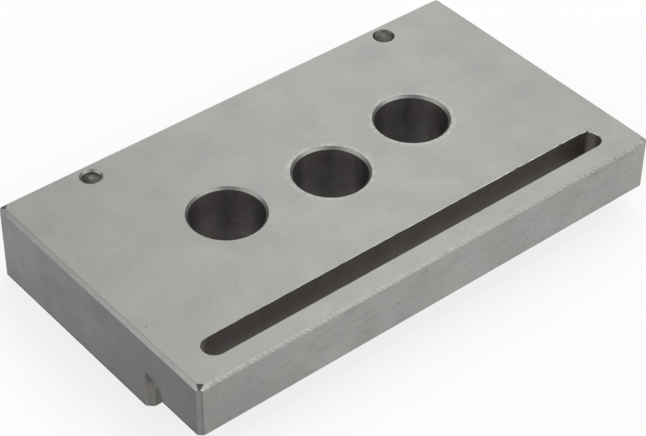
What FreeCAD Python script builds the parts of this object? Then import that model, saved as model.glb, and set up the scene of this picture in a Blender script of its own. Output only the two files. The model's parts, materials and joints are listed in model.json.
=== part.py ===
import FreeCAD, Part
import math
import os

# Drill bushing plate for a drill jig: a milled steel plate with three bores for press-in drill
# bushings, a guide slot through the thinner lip along its front, and two dowel pins near its
# rear edge. Sizes are in millimetres.
#
# Frame: the origin is where the axis of the middle bore meets the bottom face. +X runs along the
# plate, +Y runs from the lip to the rear edge, and +Z is up.

# Plate
plate_length = 120.0
plate_width = 68.0
plate_thickness = 18.0

# Rebate milled under the front, which leaves the lip
rebate_width = 16.45          # front face to step wall
lip_thickness = 12.5
rebate_root_radius = 0.8

# Outer edges
top_chamfer = 0.8             # the four long edges of the top face
corner_chamfer = 0.9          # the four upright corners
edge_break = 0.2              # the edges of the undersides
nip_width = 1.5               # filed facet on each top corner, measured along its upper edge
nip_tilt = 22.0               # its tilt below the top face, in degrees

# Bores for drill bushings
bore_diameter = 16.0
bore_pitch = 25.0
outer_bore_setback = 3.0      # the outer two lie this much nearer the rear edge
bore_chamfer = 0.55

# Guide slot through the lip
slot_width = 5.2
slot_travel = 100.0           # between the centres of its round ends
slot_from_front = 7.75
slot_shift = -0.4             # its middle, measured from the middle bore along +X
slot_edge_break = 0.12

# Upright chamfer where the step wall meets each end face, and the end mill that cuts it
step_chamfer = 1.45
step_cutter_diameter = 6.0
step_cutter_rise = 1.0        # the cutter's centre stops this far above the lip's underside

# Dowel pins, pressed into reamed holes of their own diameter
pin_diameter = 4.0
pin_length = 16.0
pin_dome_radius = 8.0
pin_lead_length = 0.8
pin_lead_depth = 0.25
pin_spacing = 80.0
pin_shift = 0.25              # middle of the pair, measured from the middle bore along +X
pin_from_rear = 4.1
pin_hole_chamfer = 0.5
left_pin_recess = 0.35        # crown of the dome below the top face
right_pin_recess = 0.0

# How far a cutting solid reaches past the faces that it opens
overcut = 2.0

# Places worked out from the sizes above
half_length = plate_length / 2
half_width = plate_width / 2
front_y = -half_width
rear_y = half_width
step_y = front_y + rebate_width
lip_z = plate_thickness - lip_thickness
slot_y = front_y + slot_from_front
pin_y = rear_y - pin_from_rear
bore_centres = [
    (-bore_pitch, outer_bore_setback),
    (0.0, 0.0),
    (bore_pitch, outer_bore_setback),
]
pin_centres = [(pin_shift - pin_spacing / 2, pin_y), (pin_shift + pin_spacing / 2, pin_y)]

X_AXIS = FreeCAD.Vector(1, 0, 0)
Y_AXIS = FreeCAD.Vector(0, 1, 0)
Z_AXIS = FreeCAD.Vector(0, 0, 1)


def prism(outline, sweep):
    """Solid swept from a closed planar list of points along a vector."""
    wire = Part.makePolygon(outline + [outline[0]])
    return Part.Face(wire).extrude(sweep)


def side_section():
    """Section across the plate, with the rebate, swept along the whole length."""

    def at(y, z):
        return FreeCAD.Vector(-half_length, y, z)

    root = rebate_root_radius
    middle = root * (1 - math.sqrt(0.5))
    before_root = [
        at(front_y, plate_thickness - top_chamfer),
        at(front_y, lip_z + edge_break),
        at(front_y + edge_break, lip_z),
        at(step_y - root, lip_z),
    ]
    after_root = [
        at(step_y, lip_z - root),
        at(step_y, edge_break),
        at(step_y + edge_break, 0),
        at(rear_y - edge_break, 0),
        at(rear_y, edge_break),
        at(rear_y, plate_thickness - top_chamfer),
        at(rear_y - top_chamfer, plate_thickness),
        at(front_y + top_chamfer, plate_thickness),
        before_root[0],
    ]
    round_root = Part.Arc(before_root[-1], at(step_y - middle, lip_z - middle), after_root[0])
    edges = Part.makePolygon(before_root).Edges
    edges.append(round_root.toShape())
    edges.extend(Part.makePolygon(after_root).Edges)
    return Part.Face(Part.Wire(edges)).extrude(X_AXIS * plate_length)


def end_section():
    """Section along the plate, with the chamfered ends of the top face."""

    def at(x, z):
        return FreeCAD.Vector(x, front_y, z)

    outline = [
        at(-half_length + edge_break, 0),
        at(half_length - edge_break, 0),
        at(half_length, edge_break),
        at(half_length, plate_thickness - top_chamfer),
        at(half_length - top_chamfer, plate_thickness),
        at(-half_length + top_chamfer, plate_thickness),
        at(-half_length, plate_thickness - top_chamfer),
        at(-half_length, edge_break),
    ]
    return prism(outline, Y_AXIS * plate_width)


def plan_outline():
    """Plan of the plate, with its four upright corners chamfered."""
    outline = []
    for x_sign, y_sign in ((-1, -1), (1, -1), (1, 1), (-1, 1)):
        along_x = FreeCAD.Vector(x_sign * (half_length - corner_chamfer), y_sign * half_width, 0)
        along_y = FreeCAD.Vector(x_sign * half_length, y_sign * (half_width - corner_chamfer), 0)
        pair = [along_x, along_y]
        if x_sign == y_sign:
            pair.reverse()
        outline.extend(pair)
    return prism(outline, Z_AXIS * plate_thickness)


def corner_nip(x_sign, y_sign):
    """Wedge that files off one top corner, over the mitre of the two top chamfers."""
    reach = nip_width / 2 + math.sqrt(2) * top_chamfer + overcut
    rise = reach * math.tan(math.radians(nip_tilt))
    heel = nip_width / 2
    outline = [
        FreeCAD.Vector(-heel, -reach, 0),
        FreeCAD.Vector(reach, -reach, -rise - heel * math.tan(math.radians(nip_tilt))),
        FreeCAD.Vector(reach, -reach, overcut),
        FreeCAD.Vector(-heel, -reach, overcut),
    ]
    wedge = prism(outline, Y_AXIS * (2 * reach))
    wedge.rotate(FreeCAD.Vector(), Z_AXIS, math.degrees(math.atan2(y_sign, x_sign)))
    inner_x = x_sign * (half_length - top_chamfer)
    inner_y = y_sign * (half_width - top_chamfer)
    wedge.translate(FreeCAD.Vector(inner_x, inner_y, plate_thickness))
    return wedge


def lip_end_break(x_sign):
    """Wedge that breaks the lower end edge of the lip."""
    end_x = x_sign * half_length
    inner_x = x_sign * (half_length - edge_break)
    outline = [
        FreeCAD.Vector(inner_x, front_y - overcut, lip_z),
        FreeCAD.Vector(end_x, front_y - overcut, lip_z + edge_break),
        FreeCAD.Vector(end_x, front_y - overcut, lip_z),
    ]
    return prism(outline, Y_AXIS * (overcut + rebate_width - step_chamfer))


def step_corner_cut(x_sign):
    """Sweep of the end mill that chamfers the step's upright corner at one end.

    The mill's flat end cuts the chamfer, at 45 degrees in plan. It comes up from below and stops
    above the underside of the lip, so it leaves a round-topped pocket in the lip's end face.
    """
    radius = step_cutter_diameter / 2
    stop_z = lip_z + step_cutter_rise
    depth = step_chamfer / 2
    shank = step_cutter_diameter + overcut
    outward = FreeCAD.Vector(x_sign, -1, 0).normalize()
    across = FreeCAD.Vector(x_sign, 1, 0).normalize()
    face_centre = FreeCAD.Vector(x_sign * (half_length - depth), step_y + depth, stop_z)
    foot = -(stop_z + overcut)
    outline = [
        face_centre - across * radius,
        face_centre + across * radius,
        face_centre + across * radius + Z_AXIS * foot,
        face_centre - across * radius + Z_AXIS * foot,
    ]
    sweep = prism(outline, outward * shank)
    mill = Part.makeCylinder(radius, shank, face_centre, outward)
    return sweep.fuse(mill)


def chamfered_hole(centre, diameter, chamfer, bottom_z):
    """Cutting solid of an upright through hole, chamfered at both of its mouths."""
    x, y = centre
    radius = diameter / 2
    below = FreeCAD.Vector(x, y, bottom_z - overcut)
    shaft = Part.makeCylinder(radius, plate_thickness - bottom_z + 2 * overcut, below)
    wide = radius + chamfer + overcut
    height = chamfer + overcut
    top_cone = Part.makeCone(radius, wide, height, FreeCAD.Vector(x, y, plate_thickness - chamfer))
    bottom_cone = Part.makeCone(wide, radius, height, below)
    return shaft.fuse([top_cone, bottom_cone])


def slot_outline(half_wide, z):
    """Closed wire of the guide slot's round-ended outline at one height."""
    left_x = slot_shift - slot_travel / 2
    right_x = slot_shift + slot_travel / 2

    def at(x, y):
        return FreeCAD.Vector(x, slot_y + y, z)

    front = Part.makeLine(at(left_x, -half_wide), at(right_x, -half_wide))
    right_end = Part.Arc(at(right_x, -half_wide), at(right_x + half_wide, 0), at(right_x, half_wide))
    rear = Part.makeLine(at(right_x, half_wide), at(left_x, half_wide))
    left_end = Part.Arc(at(left_x, half_wide), at(left_x - half_wide, 0), at(left_x, -half_wide))
    return Part.Wire([front, right_end.toShape(), rear, left_end.toShape()])


def guide_slot():
    """Cutting solid of the guide slot, with a broken edge round each mouth."""
    half_wide = slot_width / 2
    flare = slot_edge_break + overcut
    through = Part.Face(slot_outline(half_wide, lip_z - overcut))
    through = through.extrude(Z_AXIS * (lip_thickness + 2 * overcut))
    top_flare = Part.makeLoft([
        slot_outline(half_wide, plate_thickness - slot_edge_break),
        slot_outline(half_wide + flare, plate_thickness + overcut),
    ], True, True)
    bottom_flare = Part.makeLoft([
        slot_outline(half_wide + flare, lip_z - overcut),
        slot_outline(half_wide, lip_z + slot_edge_break),
    ], True, True)
    return through.fuse([top_flare, bottom_flare])


def bushing_plate():
    """The plate: its block form first, then every corner, bore, hole and slot cut from it."""
    block = side_section().common(end_section()).common(plan_outline())
    cuts = [guide_slot()]
    for x_sign in (-1, 1):
        cuts.append(lip_end_break(x_sign))
        cuts.append(step_corner_cut(x_sign))
        for y_sign in (-1, 1):
            cuts.append(corner_nip(x_sign, y_sign))
    for centre in bore_centres:
        cuts.append(chamfered_hole(centre, bore_diameter, bore_chamfer, 0.0))
    for centre in pin_centres:
        cuts.append(chamfered_hole(centre, pin_diameter, pin_hole_chamfer, 0.0))
    for cut in cuts:
        block = block.cut(cut)
    return block.removeSplitter()


def dowel_pin(centre, recess):
    """One dowel pin: a domed upper end, a straight shank and a tapered lead at its foot."""
    radius = pin_diameter / 2
    dome_height = pin_dome_radius - math.sqrt(pin_dome_radius ** 2 - radius ** 2)
    half_arc = radius / 2
    half_drop = pin_dome_radius - math.sqrt(pin_dome_radius ** 2 - half_arc ** 2)

    def at(r, z):
        return FreeCAD.Vector(r, 0, z)

    shoulder = at(radius, pin_length - dome_height)
    crown = at(0, pin_length)
    dome = Part.Arc(shoulder, at(half_arc, pin_length - half_drop), crown)
    sides = Part.makePolygon([
        crown,
        at(0, 0),
        at(radius - pin_lead_depth, 0),
        at(radius, pin_lead_length),
        shoulder,
    ])
    profile = Part.Face(Part.Wire(sides.Edges + [dome.toShape()]))
    pin = profile.revolve(FreeCAD.Vector(), Z_AXIS, 360)
    x, y = centre
    pin.translate(FreeCAD.Vector(x, y, plate_thickness - recess - pin_length))
    return pin


def build():
    """Every sub-part of the drill bushing plate, by name."""
    left_centre, right_centre = pin_centres
    return {
        "bushing_plate": bushing_plate(),
        "left_dowel_pin": dowel_pin(left_centre, left_pin_recess),
        "right_dowel_pin": dowel_pin(right_centre, right_pin_recess),
    }


os.makedirs("parts", exist_ok=True)
for name, shape in build().items():
    shape.exportStep("parts/" + name + ".step")
    print(name, "solids", len(shape.Solids), "valid", shape.isValid(), "volume", round(shape.Volume, 2))
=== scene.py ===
"""Looks of a drill bushing plate: its steel finishes, the studio round it and the camera.

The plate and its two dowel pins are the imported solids. The plate is shown by a finer mesh of the
same shape, with broken edges, filed chamfers and the small nicks of a used tool. Sizes are in
millimetres unless a name ends in _m, in the frame of the solids: +X runs along the plate, +Y runs
from the stepped lip to the rear edge, and +Z is up out of the top face.
"""

import json
import logging
import math
from dataclasses import dataclass, field, replace
from enum import Enum
from typing import Any

import bmesh
import bpy
from mathutils import Matrix, Vector, noise

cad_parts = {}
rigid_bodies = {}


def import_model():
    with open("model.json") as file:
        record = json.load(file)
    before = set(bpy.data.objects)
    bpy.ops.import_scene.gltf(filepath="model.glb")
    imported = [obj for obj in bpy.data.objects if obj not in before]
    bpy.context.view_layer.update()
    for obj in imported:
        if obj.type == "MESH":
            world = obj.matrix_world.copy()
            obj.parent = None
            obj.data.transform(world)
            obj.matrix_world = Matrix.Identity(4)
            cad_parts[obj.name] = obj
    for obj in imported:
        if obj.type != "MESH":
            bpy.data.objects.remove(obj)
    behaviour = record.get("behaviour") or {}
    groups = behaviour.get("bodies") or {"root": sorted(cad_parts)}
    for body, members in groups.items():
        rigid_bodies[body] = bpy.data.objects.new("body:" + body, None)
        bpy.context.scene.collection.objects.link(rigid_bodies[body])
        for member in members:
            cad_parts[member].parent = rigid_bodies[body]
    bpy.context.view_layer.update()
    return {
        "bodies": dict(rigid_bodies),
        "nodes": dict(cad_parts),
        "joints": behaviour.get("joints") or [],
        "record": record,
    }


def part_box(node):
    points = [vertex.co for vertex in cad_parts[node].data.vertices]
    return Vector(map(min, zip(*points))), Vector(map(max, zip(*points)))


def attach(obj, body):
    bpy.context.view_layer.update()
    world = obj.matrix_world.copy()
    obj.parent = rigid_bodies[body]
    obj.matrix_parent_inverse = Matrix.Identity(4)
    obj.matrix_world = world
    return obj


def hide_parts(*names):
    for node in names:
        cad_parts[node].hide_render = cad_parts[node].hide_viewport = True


logger = logging.getLogger("drill_bushing_plate")

MM = 0.001
BORE_CENTRES = ((-25.0, 3.0), (0.0, 0.0), (25.0, 3.0))
BORE_RADIUS = 8.0
SHEEN_BAND_DEG = (16.0, 92.0)    # places of the two bands of painted sheen on a bore's wall, from +X
NOISE_SPAN = (0.3, 0.7)         # nearly all of Blender's noise lies between these levels

OUTWARD = ((0, -1, 0), (0, 1, 0), (-1, 0, 0), (1, 0, 0))        # from the plate's four sides

Tree = bpy.types.NodeTree
Socket = bpy.types.NodeSocket


def linear_colour(hex_colour: str) -> tuple[float, float, float, float]:
    """Turn an sRGB hex colour into Blender's linear colour.

    Args:
        hex_colour: Six hex digits after a number sign.

    Returns:
        Linear red, green and blue, and an alpha of 1.
    """
    channels = []
    for start in (1, 3, 5):
        value = int(hex_colour[start:start + 2], 16) / 255
        channels.append(value / 12.92 if value <= 0.04045 else ((value + 0.055) / 1.055) ** 2.4)
    return (channels[0], channels[1], channels[2], 1.0)


def add_node(
    tree: Tree,
    kind: str,
    links: dict[str | int, Socket] | None = None,
    values: dict[str | int, Any] | None = None,
    **settings: Any,
) -> bpy.types.Node:
    """Add one shader node with its settings, values and links.

    Args:
        tree: Node tree that gets the node.
        kind: Blender's name for the type of node.
        links: Output socket to join to each named or numbered input.
        values: Value to set on each named or numbered input.
        **settings: Properties of the node itself.

    Returns:
        The new node.
    """
    new = tree.nodes.new(kind)
    for name, value in settings.items():
        setattr(new, name, value)
    for name, value in (values or {}).items():
        new.inputs[name].default_value = value
    for name, output in (links or {}).items():
        tree.links.new(output, new.inputs[name])
    return new


class Lay(Enum):
    """Which way the tool marks run: how long a mark is along x, y and z for a width of 1."""

    ALONG_PLATE = (24.0, 1.0, 1.0)
    ACROSS_PLATE = (1.0, 24.0, 1.0)
    UPRIGHT = (1.0, 1.0, 14.0)
    ROUND_BORE = (18.0, 18.0, 1.0)   # level rings in an upright bore
    NONE = (1.0, 1.0, 1.0)


class Facing(Enum):
    """The two axes that a flat face spans, the first one along its scratches."""

    UP = ("X", "Y")
    FRONT = ("X", "Z")
    END = ("Y", "Z")


@dataclass(frozen=True)
class SteelFinish:
    """One surface of carbon steel, named for how it was made."""

    name: str
    colour: str
    patch_colour: str               # the tone that its cloudy patches lean to
    roughness: float
    roughness_swing: float = 0.04   # how far a tool mark moves the roughness
    facing: Facing = Facing.UP
    patch_mm: float = 14.0          # size of the cloudy patches
    patch_shift: tuple[float, float, float] = (0.0, 0.0, 0.0)
    patch_span: tuple[float, float] = (0.34, 0.66)      # noise levels of the two tones
    tint: float = 0.0               # how far faint colours stray from grey, as a share of the tone
    tint_mm: float = 11.0
    tint_strays: tuple[float, float, float] = (3.0, 5.0, 2.0)       # of red, green and blue
    tone_ramp: tuple[float, float] = (1.0, 1.0)      # share of the tone that it leaves at either end; some finishes use it for painted shade
    tone_ramp_axis: str = "X"
    tone_ramp_span: tuple[float, float] = (-60.0, 60.0)
    lay: Lay = Lay.NONE
    mark_mm: float = 0.5            # width of one tool mark
    mark_tone: float = 0.05         # how far a mark moves the tone, as a share of it
    mark_depth: float = 0.004
    grain_mm: float = 0.45
    grain_tone: float = 0.04
    speck_spacing: float = 0.0      # 0 for none
    speck_mm: float = 0.3           # size of a large pit
    speck_rag: float = 1.2          # how far its outline strays, as a multiple of its size
    speck_cluster_mm: float = 12.0  # the pits lie in clusters about this size
    speck_shift: tuple[float, float, float] = (0.0, 0.0, 0.0)
    speck_span: tuple[float, float] = (0.5, 0.58)       # noise levels of a cluster's edge
    speck_colour: str = "#6B6964"
    scratch_tone: float = 0.0       # 0 for none
    scratch_tilt_deg: float = 35.0
    scratch_mm: float = 0.16        # its width
    scratch_length: float = 60.0    # its length, as a multiple of its width
    scratch_span: tuple[float, float] = (0.64, 0.74)    # noise levels of a scratch's edge
    smudge_tone: float = 0.0        # 0 for none
    smudge_mm: float = 2.0          # width of an oily smudge
    smudge_length: float = 4.0      # its length, as a multiple of its width
    smudge_lay: Lay = Lay.ALONG_PLATE
    smudge_span: tuple[float, float] = (0.54, 0.74)     # noise levels of a smudge's edge
    wear_and_sheen_centres: tuple[tuple[float, float], ...] = ()    # of the lighter rings, seen from above
    wear_and_sheen_radius: float = 9.0
    wear_and_sheen_width: float = 0.8       # from the middle of the ring to where it fades out
    wear_and_sheen_tone: float = 0.24
    wear_and_sheen_patch_mm: float = 1.1
    wear_and_sheen_cover: float = 0.46      # 0 where all of the ring is lighter, higher where only patches are
    wear_and_sheen_fade: float = 0.1        # from the edge of a patch to where it is all bare
    highlight_mm: float = 0.0            # radius of a painted highlight, 0 for none
    highlight_at: tuple[float, float] = (0.0, 0.0)
    highlight_core: float = 0.2          # share of that radius where it is at full strength
    highlight_colour: str = "#FFFFFF"

    def material(self) -> bpy.types.Material:
        """Build the material of this finish.

        Returns:
            A new material that has the finish's name.
        """
        material = bpy.data.materials.new(self.name)
        material.use_nodes = True
        tree = material.node_tree
        tree.nodes.clear()
        place = add_node(tree, "ShaderNodeTexCoord").outputs["Object"]
        in_mm = add_node(
            tree, "ShaderNodeVectorMath", {0: place}, {1: (1 / MM,) * 3}, operation="MULTIPLY",
        ).outputs["Vector"]
        axes = add_node(tree, "ShaderNodeSeparateXYZ", {0: in_mm}).outputs
        marks = self.streaks(tree, in_mm, self.lay.value, self.mark_mm)
        grain = self.streaks(tree, in_mm, Lay.NONE.value, self.grain_mm)

        tone = self.clouded(tree, in_mm)
        # A painted highlight, such as the one on a dowel's crown.
        if self.highlight_mm:
            tone = self.painted_highlight(tree, tone, in_mm)
        tone = self.shaded(tree, tone, marks, self.mark_tone)
        tone = self.shaded(tree, tone, grain, self.grain_tone)
        if self.tint:
            tone = self.tinted(tree, tone, in_mm)
        if self.smudge_tone:
            tone = self.smudged(tree, tone, in_mm)
        # Lighter rings: wear with a painted highlight on the top face, painted sheen in the bores.
        if self.wear_and_sheen_centres:
            tone = self.worn_and_sheened(tree, tone, in_mm)
        # A tone ramp along one axis, painted shade in some finishes.
        if self.tone_ramp[0] != self.tone_ramp[1]:
            tone = self.gained(tree, tone, axes[self.tone_ramp_axis], self.tone_ramp_span, self.tone_ramp)
        if self.scratch_tone or self.speck_spacing:
            first, second = self.facing.value
            flat = add_node(tree, "ShaderNodeCombineXYZ", {
                "X": axes[first], "Y": axes[second],
            }).outputs[0]
            if self.scratch_tone:
                tone = self.scratched(tree, tone, flat)
            if self.speck_spacing:
                tone = self.specked(tree, tone, flat)

        gloss = add_node(tree, "ShaderNodeMapRange", {"Value": marks}, {
            "From Min": NOISE_SPAN[0], "From Max": NOISE_SPAN[1],
            "To Min": self.roughness - self.roughness_swing,
            "To Max": self.roughness + self.roughness_swing,
        })
        relief = add_node(tree, "ShaderNodeBump", {"Height": marks}, {
            "Distance": self.mark_depth * MM,
        })
        shader = add_node(tree, "ShaderNodeBsdfPrincipled", {
            "Base Color": tone,
            "Roughness": gloss.outputs["Result"],
            "Normal": relief.outputs["Normal"],
        }, {"Metallic": 1.0})
        add_node(tree, "ShaderNodeOutputMaterial", {"Surface": shader.outputs["BSDF"]})
        return material

    def streaks(
        self, tree: Tree, in_mm: Socket, stretch: tuple[float, ...], width: float,
    ) -> Socket:
        """Make a grainy pattern that can be drawn out into streaks.

        Args:
            tree: Node tree of the material.
            in_mm: Place on the surface.
            stretch: How long a grain is along x, y and z for a width of 1.
            width: Its width.

        Returns:
            The level of the pattern, about 0.5 in the middle.
        """
        place = add_node(tree, "ShaderNodeVectorMath", {0: in_mm}, {
            1: tuple(1 / (width * length) for length in stretch),
        }, operation="MULTIPLY")
        texture = add_node(tree, "ShaderNodeTexNoise", {"Vector": place.outputs["Vector"]}, {
            "Scale": 1.0, "Detail": 2.0, "Roughness": 0.55,
        })
        return texture.outputs["Fac"]

    def gained(
        self,
        tree: Tree,
        tone: Socket,
        pattern: Socket,
        span: tuple[float, float],
        gains: tuple[float, float],
        is_held: bool = True,
    ) -> Socket:
        """Lighten or darken a tone by a gain that follows a pattern.

        Args:
            tree: Node tree of the material.
            tone: The tone so far.
            pattern: The pattern's level.
            span: Two levels of the pattern.
            gains: The gain at each of them.
            is_held: Whether the gain stays as it is past those levels.

        Returns:
            The tone times the gain.
        """
        gain = add_node(tree, "ShaderNodeMapRange", {"Value": pattern}, {
            "From Min": span[0], "From Max": span[1], "To Min": gains[0], "To Max": gains[1],
        }, clamp=is_held)
        product = add_node(tree, "ShaderNodeVectorMath", {
            0: tone, "Scale": gain.outputs["Result"],
        }, operation="SCALE")
        return product.outputs["Vector"]

    def shaded(self, tree: Tree, tone: Socket, pattern: Socket, amount: float) -> Socket:
        """Lighten and darken a tone alike by a pattern, by up to a share of the tone."""
        gains = (1 - amount, 1 + amount)
        return self.gained(tree, tone, pattern, NOISE_SPAN, gains, is_held=False)

    def clouded(self, tree: Tree, in_mm: Socket) -> Socket:
        """Mix the two tones of the steel in cloudy patches.

        Args:
            tree: Node tree of the material.
            in_mm: Place on the surface.

        Returns:
            The mixed tone.
        """
        moved = add_node(
            tree, "ShaderNodeVectorMath", {0: in_mm}, {1: self.patch_shift}, operation="ADD",
        )
        patches = add_node(tree, "ShaderNodeTexNoise", {"Vector": moved.outputs["Vector"]}, {
            "Scale": 1 / self.patch_mm, "Detail": 3.0, "Roughness": 0.6,
        })
        share = add_node(tree, "ShaderNodeMapRange", {"Value": patches.outputs["Fac"]}, {
            "From Min": self.patch_span[0], "From Max": self.patch_span[1],
        })
        mixed = add_node(tree, "ShaderNodeMix", {0: share.outputs["Result"]}, {
            6: linear_colour(self.colour), 7: linear_colour(self.patch_colour),
        }, data_type="RGBA")
        return mixed.outputs[2]

    def tinted(self, tree: Tree, tone: Socket, in_mm: Socket) -> Socket:
        """Let a tone stray a little to green and pink, as a film of oil does.

        Args:
            tree: Node tree of the material.
            tone: The tone so far.
            in_mm: Place on the surface.

        Returns:
            The tone with its red, green and blue moved apart.
        """
        texture = add_node(tree, "ShaderNodeTexNoise", {"Vector": in_mm}, {
            "Scale": 1 / self.tint_mm, "Detail": 4.0, "Roughness": 0.6,
        })
        strays = tuple(stray * self.tint for stray in self.tint_strays)
        gain = add_node(tree, "ShaderNodeVectorMath", {0: texture.outputs["Color"]}, {
            1: strays, 2: tuple(1 - stray / 2 for stray in strays),
        }, operation="MULTIPLY_ADD")
        product = add_node(tree, "ShaderNodeVectorMath", {
            0: tone, 1: gain.outputs["Vector"],
        }, operation="MULTIPLY")
        return product.outputs["Vector"]

    def smudged(self, tree: Tree, tone: Socket, in_mm: Socket) -> Socket:
        """Darken a tone in a few broad, soft smudges.

        Args:
            tree: Node tree of the material.
            tone: The tone so far.
            in_mm: Place on the surface.

        Returns:
            The smudged tone.
        """
        stretch = tuple(
            self.smudge_length if length > 1 else 1.0 for length in self.smudge_lay.value
        )
        smudges = self.streaks(tree, in_mm, stretch, self.smudge_mm)
        return self.gained(tree, tone, smudges, self.smudge_span, (1.0, 1 - self.smudge_tone))

    def scratched(self, tree: Tree, tone: Socket, flat: Socket) -> Socket:
        """Lighten a tone along a few thin scratches, tilted in the face.

        Real scratches are about 0.05 mm wide, drawn at 0.16 mm so that they show.

        Args:
            tree: Node tree of the material.
            tone: The tone so far.
            flat: Place in the plane of the face.

        Returns:
            The scratched tone.
        """
        turned = add_node(tree, "ShaderNodeVectorRotate", {"Vector": flat}, {
            "Angle": math.radians(self.scratch_tilt_deg),
        }, rotation_type="Z_AXIS")
        stretch = (self.scratch_length, 1.0, 1.0)
        lines = self.streaks(tree, turned.outputs["Vector"], stretch, self.scratch_mm)
        return self.gained(tree, tone, lines, self.scratch_span, (1.0, 1 + self.scratch_tone))

    def specked(self, tree: Tree, tone: Socket, flat: Socket) -> Socket:
        """Darken a tone at small pits, which lie in loose clusters and differ in size.

        Args:
            tree: Node tree of the material.
            tone: The tone so far.
            flat: Place in the plane of the face.

        Returns:
            The pitted tone.
        """
        rag = add_node(tree, "ShaderNodeTexNoise", {"Vector": flat}, {
            "Scale": 1 / self.speck_mm, "Detail": 1.0,
        })
        ragged = add_node(tree, "ShaderNodeVectorMath", {
            0: rag.outputs["Color"], 2: flat,
        }, {1: (self.speck_rag * self.speck_mm,) * 3}, operation="MULTIPLY_ADD")
        cells = add_node(tree, "ShaderNodeTexVoronoi", {"Vector": ragged.outputs["Vector"]}, {
            "Scale": 1 / self.speck_spacing,
        }, voronoi_dimensions="2D")
        chance = add_node(tree, "ShaderNodeSeparateColor", {0: cells.outputs["Color"]})
        size = add_node(tree, "ShaderNodeMapRange", {"Value": chance.outputs["Red"]}, {
            "From Min": 0.5, "From Max": 1.0,
            "To Min": 0.0, "To Max": 0.7 * self.speck_mm / self.speck_spacing,
        })
        pits = add_node(tree, "ShaderNodeMapRange", {
            "Value": cells.outputs["Distance"], "From Max": size.outputs["Result"],
        }, {"From Min": 0.0, "To Min": 1.1, "To Max": 0.0})
        moved = add_node(
            tree, "ShaderNodeVectorMath", {0: flat}, {1: self.speck_shift}, operation="ADD",
        ).outputs["Vector"]
        crowd = add_node(tree, "ShaderNodeMapRange", {
            "Value": self.streaks(tree, moved, Lay.NONE.value, self.speck_cluster_mm),
        }, {"From Min": self.speck_span[0], "From Max": self.speck_span[1]})
        share = add_node(tree, "ShaderNodeMath", {
            0: pits.outputs["Result"], 1: crowd.outputs["Result"],
        }, operation="MULTIPLY", use_clamp=True)
        mixed = add_node(tree, "ShaderNodeMix", {0: share.outputs[0], 6: tone}, {
            7: linear_colour(self.speck_colour),
        }, data_type="RGBA")
        return mixed.outputs[2]

    def away_from(self, tree: Tree, in_mm: Socket, centre: tuple[float, float]) -> Socket:
        """Measure how far the surface is from an upright line.

        Args:
            tree: Node tree of the material.
            in_mm: Place on the surface.
            centre: Where the line stands.

        Returns:
            The distance, seen from above.
        """
        level = add_node(
            tree, "ShaderNodeVectorMath", {0: in_mm}, {1: (1.0, 1.0, 0.0)}, operation="MULTIPLY",
        )
        away = add_node(tree, "ShaderNodeVectorMath", {0: level.outputs["Vector"]}, {
            1: (*centre, 0.0),
        }, operation="DISTANCE")
        return away.outputs["Value"]

    def worn_and_sheened(self, tree: Tree, tone: Socket, in_mm: Socket) -> Socket:
        """Lighten a tone in patches of one ring or more, seen from above: wear with a painted
        highlight, and painted sheen.

        Args:
            tree: Node tree of the material.
            tone: The tone so far.
            in_mm: Place on the surface.

        Returns:
            The lightened tone.
        """
        bare = self.streaks(tree, in_mm, Lay.NONE.value, self.wear_and_sheen_patch_mm)
        share = add_node(tree, "ShaderNodeMapRange", {"Value": bare}, {
            "From Min": self.wear_and_sheen_cover, "From Max": self.wear_and_sheen_cover + self.wear_and_sheen_fade,
        })
        rings = []
        for centre in self.wear_and_sheen_centres:
            past = add_node(tree, "ShaderNodeMath", {0: self.away_from(tree, in_mm, centre)}, {
                1: self.wear_and_sheen_radius,
            }, operation="SUBTRACT")
            off_ring = add_node(tree, "ShaderNodeMath", {0: past.outputs[0]}, operation="ABSOLUTE")
            ring = add_node(tree, "ShaderNodeMapRange", {"Value": off_ring.outputs[0]}, {
                "From Max": self.wear_and_sheen_width, "To Min": self.wear_and_sheen_tone, "To Max": 0.0,
            })
            rings.append(ring.outputs["Result"])
        gain = rings[0]
        for ring in rings[1:]:
            gain = add_node(tree, "ShaderNodeMath", {0: gain, 1: ring}, operation="ADD").outputs[0]
        lift = add_node(tree, "ShaderNodeMath", {0: gain, 1: share.outputs["Result"]}, {
            2: 1.0,
        }, operation="MULTIPLY_ADD")
        lit = add_node(tree, "ShaderNodeVectorMath", {
            0: tone, "Scale": lift.outputs[0],
        }, operation="SCALE")
        return lit.outputs["Vector"]

    def painted_highlight(self, tree: Tree, tone: Socket, in_mm: Socket) -> Socket:
        """Paint a round highlight, seen from above, that fades out at its edge.

        Args:
            tree: Node tree of the material.
            tone: The tone so far.
            in_mm: Place on the surface.

        Returns:
            The tone with the painted highlight.
        """
        share = add_node(tree, "ShaderNodeMapRange", {
            "Value": self.away_from(tree, in_mm, self.highlight_at),
        }, {
            "From Min": self.highlight_core * self.highlight_mm, "From Max": self.highlight_mm,
            "To Min": 1.0, "To Max": 0.0,
        }, interpolation_type="SMOOTHSTEP")
        mixed = add_node(tree, "ShaderNodeMix", {0: share.outputs["Result"], 6: tone}, {
            7: linear_colour(self.highlight_colour),
        }, data_type="RGBA")
        return mixed.outputs[2]


# The marks of grinding, milling, filing and reaming are 0.05 to 0.2 mm wide on the real plate. One
# pixel of the photograph covers more than that, so each finish draws its marks as coarse as they
# need to be to show, and the grain and the pits likewise.

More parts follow.
